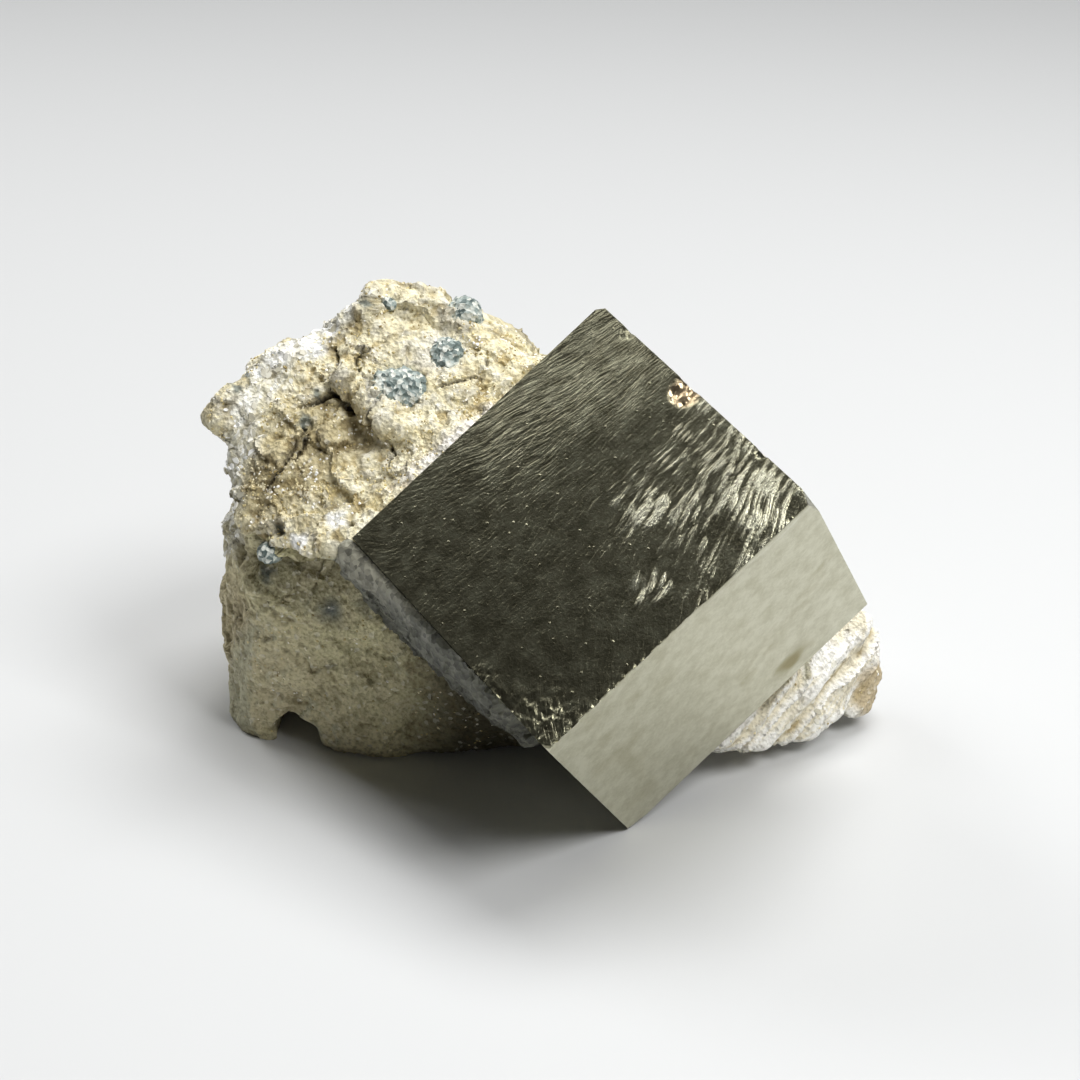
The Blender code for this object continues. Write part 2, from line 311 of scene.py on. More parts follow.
def roughen_rock(rock):
    """Breaks the rock's skin into plates, facets, grains, split layers, cracks and pits."""
    points, normals = read(rock), read(rock, "normal")
    zone = zones(points, normals)
    across, up, wander = zone["across"], zone["up"], zone["wander"]
    upper, under, recess = zone["upper"], zone["under"], zone["recess"]
    free = ease(0.1, 2.0, beside_crystal(points)[0])

    plates, _ = facets(warped(points, 3.0, 1.2, 70), 6.5, 11, 0.8)
    broad, seam = facets(warped(points, 2.0, 0.8, 74), 3.2, 17, 0.9)
    small, edge = facets(warped(points, 1.0, 0.35, 80), 1.35, 23, 0.9)
    grains, _ = facets(points, 0.62, 29, 1.0)
    behind = ease(0.0, 0.5, normals[:, 1])
    calm = 1 - 0.55 * under * (1 - behind)
    height = 0.70 * plates * calm + 0.45 * broad * calm + 0.20 * small * calm
    height += 0.08 * grains * (1 - 0.3 * under) + 0.05 * rough(points, 0.9, 31, 2)

    split = layered(points, ACROSS_SPLITS, 0.75, 51, 0.35 * wander)
    height += zone["silver"] * (0.26 * split - 0.3 * (broad * 0.42 + plates * 0.5))
    folds = layered(points, ACROSS_FOLDS, 1.3, 57, 1.5 * cloud(points, 5.0, 58))
    height += zone["right"] * (0.55 * folds - 0.35 * plates - 0.3 * broad - 0.12 * small)
    stripes = layered(points, (-0.15, -0.1, 1.0), 1.5, 61, 0.9 * wander)
    height += 0.09 * under * stripes + 0.25 * behind * stripes

    height -= 0.4 * recess
    plate = near_line(across, up, ((-28.6, 16.5), (-26.2, 13.7), (-24.6, 12.2)))
    height += 0.45 * upper * shelf(plate, 1, 5.0, 0.1)
    height -= 0.2 * upper * shelf(plate, -1, 3.0, 0.1)
    bank = near_line(across, up, ((-35.0, 6.7), (-33.4, 8.6), (-31.9, 10.7)))
    height += 0.7 * upper * shelf(bank, 1, 3.0)
    brow = near_line(across, up, ((-38.0, 0.0), (-35.9, -0.3), (-33.1, -0.8), (-31.3, 0.0),
                                  (-29.4, 0.8), (-27.0, 1.4)))
    height += 0.5 * ease(1.6, 0.3, brow[0]) * ease(-0.3, 0.3, normals @ OUT_OF_SLOPE)
    facing = ease(0.2, 0.6, -normals[:, 1])
    tucked = ease(27.0, 25.8, points[:, 2] - 0.35 * wander) * ease(19.0, 24.5, points[:, 2])
    height -= 1.9 * tucked * facing * ease(-14.0, -21.0, across)
    height += 0.8 * ease(43.0, 45.5, points[:, 2]) * ease(-9.0, -14.0, across)
    height += 0.7 * blob(points, (-40.2, 15.8, 36.0), 2.6, 0.9)

    cracked = np.zeros(len(points))
    ragged = 0.45 * rough(points, 1.2, 68, 3)
    for corners, width, depth in CRACKS:
        gap, along, _ = near_line(across + ragged, up + 0.5 * ragged, corners)
        narrow = width * np.sqrt(np.clip(1.1 - np.abs(2 * along - 1), 0.15, 1))
        inside = ease(1.0, 0.2, gap / narrow) * upper
        height -= depth * inside
        cracked = np.maximum(cracked, inside)
    pits = (((-33.7, 3.0), 0.9, 1.0), ((-26.6, 2.7), 0.5, 0.7), ((-36.9, 17.2), 0.55, 0.8),
            ((-30.9, 12.9), 0.6, 0.5))
    for (x, s), size, depth in pits:
        inside = ease(size, size * 0.45, np.hypot(across - x, up - s) + 0.25 * wander) * upper
        height -= depth * inside
        cracked = np.maximum(cracked, 0.55 * inside)
    points = points + normals * (height * free)[:, None]

    points = meet_crystal(points)
    points[:, 2] = np.maximum(points[:, 2], TABLE_LEVEL)
    zone["cracked"] = cracked
    # the groove under the brow, kept as the mask for painted shade there
    zone["tucked"] = tucked * facing
    zone["seam"] = ease(0.16, 0.03, seam) * calm * (cloud(points, 2.5, 36) > -0.1)
    zone["edge"] = ease(0.14, 0.02, edge)
    zone["high"] = 0.9 * small + 0.5 * grains + 0.4 * broad
    write(rock, meet_neighbours(points))
    return zone


def meet_crystal(points):
    """Draws skin in against the crystal's sides, and keeps it from lying over its top face."""
    far, way = beside_crystal(points)
    points = points - way * (ease(0.9, 0.2, far) * np.maximum(far - 0.04, 0))[:, None]
    local = in_crystal(points)
    x, y, z = local.T
    wide, back, _ = CRYSTAL_SIZE + 0.04
    over = (z > -0.12) & (x > -0.04) & (x < wide) & (y > -0.04) & (y < back) & (z < 1.5)
    behind = over & (back - y < x + 0.04)
    beside = over & ~behind
    local[behind, 1] = back
    local[beside, 0] = -0.04
    local[over, 2] = -0.12
    return np.where(over[:, None], local @ CRYSTAL_AXES + NEAR_CORNER, points)


def meet_neighbours(points):
    """Draws the rock in against the quartz and the knots that are set into it."""
    for name in ("quartz_selvage",) + tuple("chlorite_knot_%d" % n for n in range(1, 6)):
        shape = bmesh.new()
        shape.from_mesh(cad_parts[name].data)
        tree = BVHTree.FromBMesh(shape)
        shape.free()
        low, high = (np.array(c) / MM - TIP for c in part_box(name))
        close = np.flatnonzero(((points > low - 0.8) & (points < high + 0.8)).all(axis=1))
        for index in close:
            here = Vector((points[index] + TIP) * MM)
            spot, out, _, far = tree.find_nearest(here, 0.8 * MM)
            if spot is None:
                continue
            if (here - spot).dot(out) < 0:
                continue
            pull = 1 - min(max((far / MM - 0.45) / 0.35, 0), 1)
            points[index] = np.array(here.lerp(spot, pull)) / MM - TIP
    return points


def hex_colour(text):
    """An sRGB hex colour as linear red, green, blue, alpha."""
    parts = [int(text[i:i + 2], 16) / 255 for i in (0, 2, 4)]
    return [p / 12.92 if p <= 0.04045 else ((p + 0.055) / 1.055) ** 2.4 for p in parts] + [1.0]


def paint(piece, name, colours):
    """Gives the skin a colour at each point."""
    layer = piece.data.attributes.new(name, "FLOAT_COLOR", "POINT")
    full = np.ones((len(colours), 4), np.float32)
    full[:, :3] = colours
    layer.data.foreach_set("color", full.ravel())


def mark(piece, name, values):
    """Gives the skin a number at each point, or three of them."""
    kind = "FLOAT" if values.ndim == 1 else "FLOAT_VECTOR"
    layer = piece.data.attributes.new(name, kind, "POINT")
    layer.data.foreach_set("value" if values.ndim == 1 else "vector",
                           values.astype(np.float32).ravel())


def washed(ground, colour, amount):
    """Mixes a colour into the ground where amount says."""
    return ground + (np.array(hex_colour(colour)[:3]) - ground) * np.clip(amount, 0, 1)[:, None]


def colour_rock(rock, zone):
    """Colours the rock: cream on the break, silver on the split layers, brown below the brow, with
    white quartz spots and green chlorite ones. Shade is painted in as well: near black in the
    cracks and pits, darker just under the brow and in the groove there, darker where the crystal's
    shadow falls, and paler on faces turned to the left for the light they catch."""
    points = read(rock)
    facing = ease(-0.6, 0.0, read(rock, "normal") @ OUT_OF_SLOPE)
    across, up, wander = zone["across"], zone["up"], zone["wander"]
    upper, under, high = zone["upper"], zone["under"], zone["high"]
    blotch = rough(points, 2.4, 91)
    fine = rough(points, 0.7, 94, 2)
    ground = np.tile(hex_colour("e0daac")[:3], (len(points), 1))
    ground = washed(ground, "a39a70", ease(0.1, 1.2, blotch) * 0.8)
    ground = washed(ground, "c3b88e", ease(-0.2, -1.2, blotch) * 0.7)
    behind = ease(8.0, 16.0, points[:, 1]) * (1 - upper)
    pale = 0.45 + 0.5 * ease(-0.6, 0.6, rough(points, 7.0, 97))
    ground = washed(ground, "d2c6a2", behind * pale)
    ground = washed(ground, "9a9482", behind * ease(0.2, 1.0, rough(points, 5.0, 98)) * 0.7)
    ground = washed(ground, "ddd3ae", ease(0.0, 0.6, high) * 0.6)
    ground = washed(ground, "6d6244", ease(-0.1, -0.7, high) * 0.5)
    ground = washed(ground, "f4ebc8", upper)
    ground = washed(ground, "e6d8a6", upper * ease(0.1, 1.1, -blotch) * 0.8)
    ground = washed(ground, "fbf6e2", upper * ease(0.0, 0.7, high + 0.3 * fine) * 0.9)
    ground = washed(ground, "bda871", upper * ease(-0.1, -0.9, high + 0.3 * fine) * 0.8)
    ground = washed(ground, "cdbf94", zone["recess"] * (0.85 + 0.2 * fine))
    ground = washed(ground, "94845a", zone["recess"] * ease(0.3, -0.5, high - 0.3 * wander) * 0.8)
    streak = layered(points, ACROSS_SPLITS, 0.6, 52, 0.35 * wander)
    ground = washed(ground, "e6e1c8", zone["silver"] * 0.9)
    ground = washed(ground, "fffef4", zone["silver"] * ease(0.0, 0.6, streak + 0.3 * fine))
    ground = washed(ground, "9c9478", zone["silver"] * ease(-0.2, -0.7, streak) * 0.9)
    folds = layered(points, ACROSS_FOLDS, 1.3, 57, 1.5 * cloud(points, 5.0, 58))
    folds += 0.6 * layered(points, ACROSS_FOLDS, 0.5, 59, 1.0 * cloud(points, 4.0, 58))
    ground = washed(ground, "f4ecd4", zone["right"] * 0.95)
    ground = washed(ground, "fffdf6", zone["right"] * ease(0.0, 0.6, folds))
    ground = washed(ground, "a8935f", zone["right"] * ease(-0.25, -0.7, folds) * 0.8)
    knob = blob(points, (25.4, 19.5, 4.5), 3.8)
    ground = washed(ground, "b59e6c", knob * 0.8)
    # partly the left side's own greener grey, partly painted light: faces turned to the left are
    # painted paler
    side = ease(0.3, 0.7, -read(rock, "normal")[:, 0])
    ground = washed(ground, "c6c5aa", side * under * 0.7)
    shaded = under * (1 - zone["right"])
    # painted shade: darker just under the brow's overhang, fading downward
    ground = washed(ground, "5d5339", shaded * ease(4.5, 0.0, 24.5 - points[:, 2]) * 0.75)
    # painted shadow: the crystal's shadow on the lower face, darkest towards the crystal
    ground = washed(ground, "332f1e", shaded * ease(-25.0, -16.0, across) * 0.9)
    ground = washed(ground, "6b5c3a", zone["seam"] * 0.45 * upper)
    ground = washed(ground, "7a6a44", zone["edge"] * 0.35 * (cloud(points, 1.7, 99) > 0.1))
    # painted shade: the cracks and pits are painted near black for the shade in them
    ground = washed(ground, "2e2617", zone["cracked"] * 0.9)
    whites = (((-36.1, 18.4), 1.0), ((-34.2, 19.9), 1.6), ((-30.9, 21.0), 1.9),
              ((-27.1, 25.2), 1.5), ((-18.5, 14.2), 0.6), ((-28.0, 3.4), 1.4),
              ((-32.4, 21.2), 1.4), ((-29.0, 23.2), 1.4), ((-31.4, 1.6), 1.2))
    for (x, s), size in whites:
        far = np.hypot(across - x, up - s) + 0.5 * fine
        ground = washed(ground, "fffffb", facing * ease(size, size * 0.4, far))
    greens = (((-31.3, 13.4), 1.0), ((-37.8, 16.5), 0.7), ((-36.6, 17.8), 0.6),
              ((-35.4, -0.2), 1.0), ((-25.4, 24.6), 0.7), ((-33.7, 3.0), 0.9),
              ((-30.2, 16.6), 0.6))
    for (x, s), size in greens:
        far = np.hypot(across - x, up - s) + 0.6 * fine
        ground = washed(ground, "66706c", facing * ease(size, size * 0.3, far) * 0.85)
    for centre, size in (((-29.0, 9.8, 18.0), 2.6), ((-25.5, 9.6, 19.0), 2.2)):
        patch = blob(points + 0.6 * wander[:, None], centre, size, 0.8)
        ground = washed(ground, "46535a", patch * 0.9)
    beside_quartz = blob(points + 0.5 * fine[:, None], (-27.0, 5.4, 25.6), 2.2)
    ground = washed(ground, "6e7a7c", beside_quartz * 0.8)
    far = beside_crystal(points)[0] + 0.6 * fine
    ground = washed(ground, "fffaf2", upper * ease(2.8, 0.8, far) * ease(5.0, 8.0, up))
    for name in ("chlorite_knot_1", "chlorite_knot_2", "chlorite_knot_3"):
        middle = (np.array(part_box(name)[0]) + np.array(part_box(name)[1])) / 2 / MM - TIP
        halo = blob(points + 0.7 * wander[:, None], middle + np.array((-1.0, 0, -0.4)), 3.4, 0.6)
        ground = washed(ground, "f1efe4", upper * halo * 0.75)
    # painted shade in the groove under the brow
    ground = washed(ground, "4a4330", zone["tucked"] * 0.5)
    paint(rock, "ground", np.clip(ground, 0, 1))


rock = smoothed(regrown("matrix_rock", "matrix_rock_look", ROCK_CELL), 6)
points, normals = read(rock), read(rock, "normal")
turned_away = ((normals @ np.array((0.0, -0.89, 0.45)) < -0.05)
               | (np.linalg.norm(points - np.array((-4.0, 12.0, 14.0)), axis=1) < 9)
               | (beside_crystal(points)[0] < 0.25))
rock = thinned(rock, ROCK_KEPT, turned_away.astype(float))
rock_zone = roughen_rock(rock)
colour_rock(rock, rock_zone)
clear = read(rock)[:, 2] - TABLE_LEVEL > CLEAR_OF_TABLE
mark(rock, "silver", clear * np.clip(rock_zone["silver"] + rock_zone["right"] * 0.04, 0, 1))
gritty = (rock_zone["upper"] * (1 - rock_zone["silver"]) + 0.15 * rock_zone["under"])
gritty *= ease(-0.4, 0.5, cloud(read(rock), 2.2, 131)) * (1 - rock_zone["cracked"])
gritty *= ease(0.35, 0.7, beside_crystal(read(rock))[0])
gritty *= clear
mark(rock, "gritty", np.clip(gritty, 0, 1))
rock.data.shade_smooth()
rock.data.set_sharp_from_angle(angle=math.radians(38))


def per(millimetres):
    """A pattern's scale, from the size that one grain of it really is."""
    return 1000.0 / millimetres


def new_material(name):
    """A material, and the function that adds a node to it with its inputs and settings."""
    made = bpy.data.materials.new(name)
    made.use_nodes = True
    tree = made.node_tree
    tree.nodes.clear()

    def add(kind, inputs, **settings):
        node = tree.nodes.new("ShaderNode" + kind)
        for key, value in settings.items():
            setattr(node, key, value)
        for key, value in inputs.items():
            socket = node.inputs[key]
            if isinstance(value, bpy.types.NodeSocket):
                tree.links.new(value, socket)
            else:
                socket.default_value = hex_colour(value) if isinstance(value, str) else value
        return node

    return made, add


def stops(node, *pairs):
    """Sets a colour ramp from (position, hex colour) pairs."""
    ramp = node.color_ramp
    while len(ramp.elements) < len(pairs):
        ramp.elements.new(0.5)
    for element, (position, colour) in zip(ramp.elements, pairs):
        element.position = position
        element.color = hex_colour(colour)
    return node.outputs["Color"]


def mica_schist():
    """Mica schist, broken by hand: dull grainy quartz and feldspar with bright mica in it, so
    the colour is speckled grain by grain and the split edges have a silky gleam."""
    made, add = new_material("mica_schist")
    place = add("TexCoord", {}).outputs["Object"]
    ground = add("Attribute", {}, attribute_name="ground").outputs["Color"]
    silver = add("Attribute", {}, attribute_name="silver").outputs["Fac"]
    grain = add("TexNoise", {"Vector": place, "Scale": per(0.45), "Detail": 3.0,
                             "Roughness": 0.65}).outputs["Fac"]
    cells = add("TexVoronoi", {"Vector": place, "Scale": per(0.42), "Randomness": 1.0})
    light = stops(add("ValToRGB", {"Fac": grain}), (0.32, "8a8478"), (0.48, "ececea"),
                  (0.62, "ffffff"))
    speckled = add("MixRGB", {"Fac": 0.55, "Color1": ground, "Color2": light}, blend_type="MULTIPLY")
    pick = add("SeparateColor", {"Color": cells.outputs["Color"]})
    pale = add("MapRange", {"Value": pick.outputs["Red"], "From Min": 0.93, "From Max": 0.96,
                            "To Min": 0.0, "To Max": 0.3})
    dark = add("MapRange", {"Value": pick.outputs["Green"], "From Min": 0.9, "From Max": 0.94,
                            "To Min": 0.0, "To Max": 0.3})
    one = add("MixRGB", {"Fac": pale.outputs[0], "Color1": speckled.outputs[0], "Color2": "fbf8ea"})
    two = add("MixRGB", {"Fac": dark.outputs[0], "Color1": one.outputs[0], "Color2": "5b5138"})
    height = add("Math", {0: grain, 1: cells.outputs["Distance"]}, operation="ADD").outputs[0]
    bump = add("Bump", {"Height": height, "Strength": 0.8, "Distance": 0.00022})
    gloss = add("MapRange", {"Value": silver, "To Min": 0.85, "To Max": 0.5})
    shader = add("BsdfPrincipled", {"Base Color": two.outputs[0], "Roughness": gloss.outputs[0],
                                    "Normal": bump.outputs["Normal"]})
    add("OutputMaterial", {"Surface": shader.outputs["BSDF"]})
    return made


rock.data.materials.append(mica_schist())
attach(rock, "root")
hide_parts("matrix_rock")

# ---------------------------------------------------------------------------------------------
# Loose-looking detail of the schist: grains of quartz and feldspar that stand out of the break,
# and flakes of mica lying along the split layers. They are part of the same rock.


def scatter(ground, name, grain, finish, where, count, sizes, lean, seed):
    """Sets copies of a grain over the ground, as many per square millimetre as where says."""
    tree = bpy.data.node_groups.new(name, "GeometryNodeTree")
    tree.interface.new_socket("Ground", in_out="INPUT", socket_type="NodeSocketGeometry")
    inputs = {}
    for label, kind in (("Grains per square metre", "Float"), ("Seed", "Int"),
                        ("Smallest", "Float"), ("Largest", "Float"), ("Lean", "Float")):
        made = tree.interface.new_socket(label, in_out="INPUT", socket_type="NodeSocket" + kind)
        inputs[label] = made.identifier
    tree.interface.new_socket("Grains", in_out="OUTPUT", socket_type="NodeSocketGeometry")

    def add(kind, links, **settings):
        node = tree.nodes.new(kind)
        for key, value in settings.items():
            setattr(node, key, value)
        for key, value in links.items():
            if isinstance(value, bpy.types.NodeSocket):
                tree.links.new(value, node.inputs[key])
            else:
                node.inputs[key].default_value = value
        return node

    given = add("NodeGroupInput", {}).outputs
    share = add("GeometryNodeInputNamedAttribute", {"Name": where}, data_type="FLOAT")
    density = add("ShaderNodeMath", {0: share.outputs["Attribute"],
                                     1: given["Grains per square metre"]}, operation="MULTIPLY")
    spots = add("GeometryNodeDistributePointsOnFaces",
                {"Mesh": given["Ground"], "Density": density.outputs[0], "Seed": given["Seed"]})
    low = add("ShaderNodeMath", {0: given["Lean"], 1: -1.0}, operation="MULTIPLY")
    spread = add("FunctionNodeRandomValue", {0: (-1.0, -1.0, -3.14), 1: (1.0, 1.0, 3.14),
                                             "Seed": given["Seed"]}, data_type="FLOAT_VECTOR")
    leaning = add("ShaderNodeCombineXYZ", {"X": given["Lean"], "Y": low.outputs[0], "Z": 1.0})
    tipped = add("ShaderNodeVectorMath", {0: spread.outputs["Value"], 1: leaning.outputs[0]},
                 operation="MULTIPLY")
    turned = add("FunctionNodeRotateRotation", {"Rotation": spots.outputs["Rotation"],
                                                "Rotate By": tipped.outputs[0]},
                 rotation_space="LOCAL")
    size = add("FunctionNodeRandomValue", {2: given["Smallest"], 3: given["Largest"],
                                           "Seed": given["Seed"]}, data_type="FLOAT")
    kind = add("GeometryNodeObjectInfo", {"Object": grain})
    copies = add("GeometryNodeInstanceOnPoints",
                 {"Points": spots.outputs["Points"], "Instance": kind.outputs["Geometry"],
                  "Rotation": turned.outputs[0], "Scale": size.outputs[1]})
    solid = add("GeometryNodeRealizeInstances", {"Geometry": copies.outputs[0]})
    coated = add("GeometryNodeSetMaterial", {"Geometry": solid.outputs[0], "Material": finish})
    add("NodeGroupOutput", {"Grains": coated.outputs[0]})

    piece = bpy.data.objects.new(name, ground.data.copy())
    bpy.context.scene.collection.objects.link(piece)
    spread_over = piece.modifiers.new("Scatter", "NODES")
    spread_over.node_group = tree
    values = {"Grains per square metre": count * 1e6, "Seed": seed, "Smallest": sizes[0],
              "Largest": sizes[1], "Lean": lean}
    for label, value in values.items():
        spread_over[inputs[label]] = value
    settle(piece)
    bpy.data.objects.remove(grain)
    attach(piece, "root")
    return piece


def one_grain(name, shape):
    mesh = bpy.data.meshes.new(name)
    shape.to_mesh(mesh)
    shape.free()
    grain = bpy.data.objects.new(name, mesh)
    bpy.context.scene.collection.objects.link(grain)
    return grain


def angular_grain():
    """A broken grain one millimetre across, to be scaled down."""
    shape = bmesh.new()
    bmesh.ops.create_icosphere(shape, subdivisions=1, radius=0.5 * MM)
    for number, vertex in enumerate(shape.verts):
        vertex.co *= 0.7 + 0.45 * ((number * 7) % 5) / 4
        vertex.co.z *= 0.6
    return one_grain("angular_grain", shape)


def mica_flake():
    """A thin six-sided flake one millimetre across, to be scaled down."""
    shape = bmesh.new()
    bmesh.ops.create_cone(shape, cap_ends=True, segments=6, radius1=0.5 * MM,
                          radius2=0.46 * MM, depth=0.12 * MM)
    bmesh.ops.scale(shape, vec=(1.0, 0.62, 1.0), verts=shape.verts)
    return one_grain("mica_flake", shape)


def grain_finish():
    """Quartz and feldspar grains: cream to honey, a little glassy."""
    made, add = new_material("quartz_and_feldspar_grains")
    place = add("TexCoord", {}).outputs["Object"]
    cells = add("TexVoronoi", {"Vector": place, "Scale": per(0.9)})
    pick = add("SeparateColor", {"Color": cells.outputs["Color"]})
    tint = stops(add("ValToRGB", {"Fac": pick.outputs["Red"]}), (0.0, "8d7b4d"), (0.3, "d6c690"),
                 (0.7, "f4ecce"), (1.0, "ffffff"))
    shader = add("BsdfPrincipled", {"Base Color": tint, "Roughness": 0.75})
    add("OutputMaterial", {"Surface": shader.outputs["BSDF"]})
    return made


def mica_finish():
    """Pale mica: thin flakes with a pearly shine, silver-white to straw."""
    made, add = new_material("pale_mica_flakes")
    place = add("TexCoord", {}).outputs["Object"]
    cells = add("TexVoronoi", {"Vector": place, "Scale": per(1.2)})
    pick = add("SeparateColor", {"Color": cells.outputs["Color"]})
    tint = stops(add("ValToRGB", {"Fac": pick.outputs["Red"]}), (0.0, "a49f8b"), (0.4, "e6e2d2"),
                 (1.0, "fdfdfa"))
    shader = add("BsdfPrincipled", {"Base Color": tint, "Roughness": 0.3,
                                    "Specular IOR Level": 0.8})
    add("OutputMaterial", {"Surface": shader.outputs["BSDF"]})
    return made


scatter(rock, "rock_grains", angular_grain(), grain_finish(), "gritty", 4.0, (0.16, 0.4), 0.6, 5)
scatter(rock, "mica_flakes", mica_flake(), mica_finish(), "silver", 2.2, (0.4, 1.1), 0.22, 9)

# ---------------------------------------------------------------------------------------------
# The pyrite: one cube of iron sulphide, pale brass-grey and bright, grown in the schist. Its
# broad top face is covered in fine wavy growth lines and sheaves of coarser ones; the near face
# is smoother. The corners are a little chipped, and the edges are crumbly towards the near one.

CRYSTAL_CELLS = (200, 185, 120)
EDGE_WEAR = 0.06
CRUSHED_SPOT = (31.3, 16.6, 0.2)
INWARD = np.array((-0.45, 0, -0.9))


def crystal_lattice():
    """Points and outward four-sided faces of a finely divided block, in the crystal's frame."""
    nx, ny, nz = CRYSTAL_CELLS
    grid = np.stack(np.meshgrid(np.arange(nx + 1), np.arange(ny + 1), np.arange(nz + 1),
                                indexing="ij"), axis=-1)
    top = np.array(CRYSTAL_CELLS)
    skin = ((grid == 0) | (grid == top)).any(axis=-1)
    number = np.full(skin.shape, -1)
    number[skin] = np.arange(skin.sum())
    sheets = []
    for axis in range(3):
        for end in (0, top[axis]):
            sheet = np.take(number, end, axis=axis)
            corners = [sheet[:-1, :-1], sheet[1:, :-1], sheet[1:, 1:], sheet[:-1, 1:]]
            turned = (end > 0) == (axis == 1)
            if turned:
                corners.reverse()
            sheets.append(np.stack([c.ravel() for c in corners], axis=1))
    share = grid[skin] / top
    points = share * CRYSTAL_SIZE - np.array((0, 0, CRYSTAL_SIZE[2]))
    return points, np.concatenate(sheets)


def flat_cut(points, through, out):
    """Planes a corner or edge away: what stands beyond the plane is pressed onto it."""
    out = np.array(out) / np.linalg.norm(out)
    beyond = np.maximum((points - np.array(through)) @ out, 0)
    return points - beyond[:, None] * out


def corner_cut(points, corner, along):
    """Takes a corner off through one point on each of its edges."""
    out = -1 / np.array(along)
    return flat_cut(points, np.array(corner) + np.array((along[0], 0, 0)), out)


def growth_lines(x, y, size, run, seed):
    """Fine ridges, size apart, each running on for about the given length."""
    spot = np.stack([x / run, y / size, np.zeros_like(x)], axis=1)
    return 1 - np.abs(cloud(spot, 1.0, seed)) * 2


def bent(x, y):
    """Growth lines fan out across the top face: level at the back, rising at the near right."""
    return y + 0.035 * (y - 18) * (x - 16)


def patches(x, y, size, seed):
    """Soft patches on a face, from -1 to 1."""
    return cloud(np.stack([x, y, np.zeros_like(x)], axis=1), size, seed)


def top_face(points):
    """Height of the top face, and how strongly each kind of line shows on it."""
    x, y = points[:, 0], points[:, 1]
    fan = bent(x, y) + 0.5 * patches(x, y, 3.0, 201)
    back = ease(18.0, 25.0, y + 0.2 * (x - 20) + 1.5 * patches(x, y, 4.0, 204))
    back *= ease(9.0, 18.0, x + 2.0 * patches(x, y, 5.0, 203))
    spread = ease(6.0, 26.0, x + 1.5 * patches(x, y, 4.0, 205)) * ease(20.0, 12.0, y) * 0.8
    spread = np.maximum(spread, 1.1 * ease(5.0, 2.0, np.hypot(x - 28.5, (y - 4.0) * 0.8)))
    spread = np.maximum(spread, ease(3.0, 1.2, np.hypot(x - 16.5, y - 4.6)))
    spread = np.maximum(spread, ease(3.2, 1.4, np.hypot(x - 21.5, y - 10.5)))
    short = cloud(np.stack([x / 1.5, fan / 0.34, x * 0], axis=1), 1.0, 206)
    sheaf = spread * ease(0.55, 1.15, 0.55 * short + 0.9 * spread + 0.25 * patches(x, y, 2.0, 207))
    crumb = ease(9.0, 4.0, x + 0.7 * y + 2.0 * patches(x, y, 2.5, 208))
    flat = np.stack([x, y, x * 0], axis=1)
    height = 0.024 * back * growth_lines(x, fan, 0.62, 3.2, 211)
    height += 0.010 * sheaf * growth_lines(x, fan, 0.42, 1.0, 213)
    height += crumb * (0.09 * facets(flat, 0.7, 215, 1.0)[0] + 0.03 * rough(flat, 0.6, 216, 2))
    height += 0.005 * growth_lines(x, fan, 0.5, 1.6, 217) * ease(-0.4, 0.4, patches(x, y, 3.5, 218))
    height += 0.002 * patches(x, y, 1.6, 219)
    return height, back, sheaf, crumb, fan


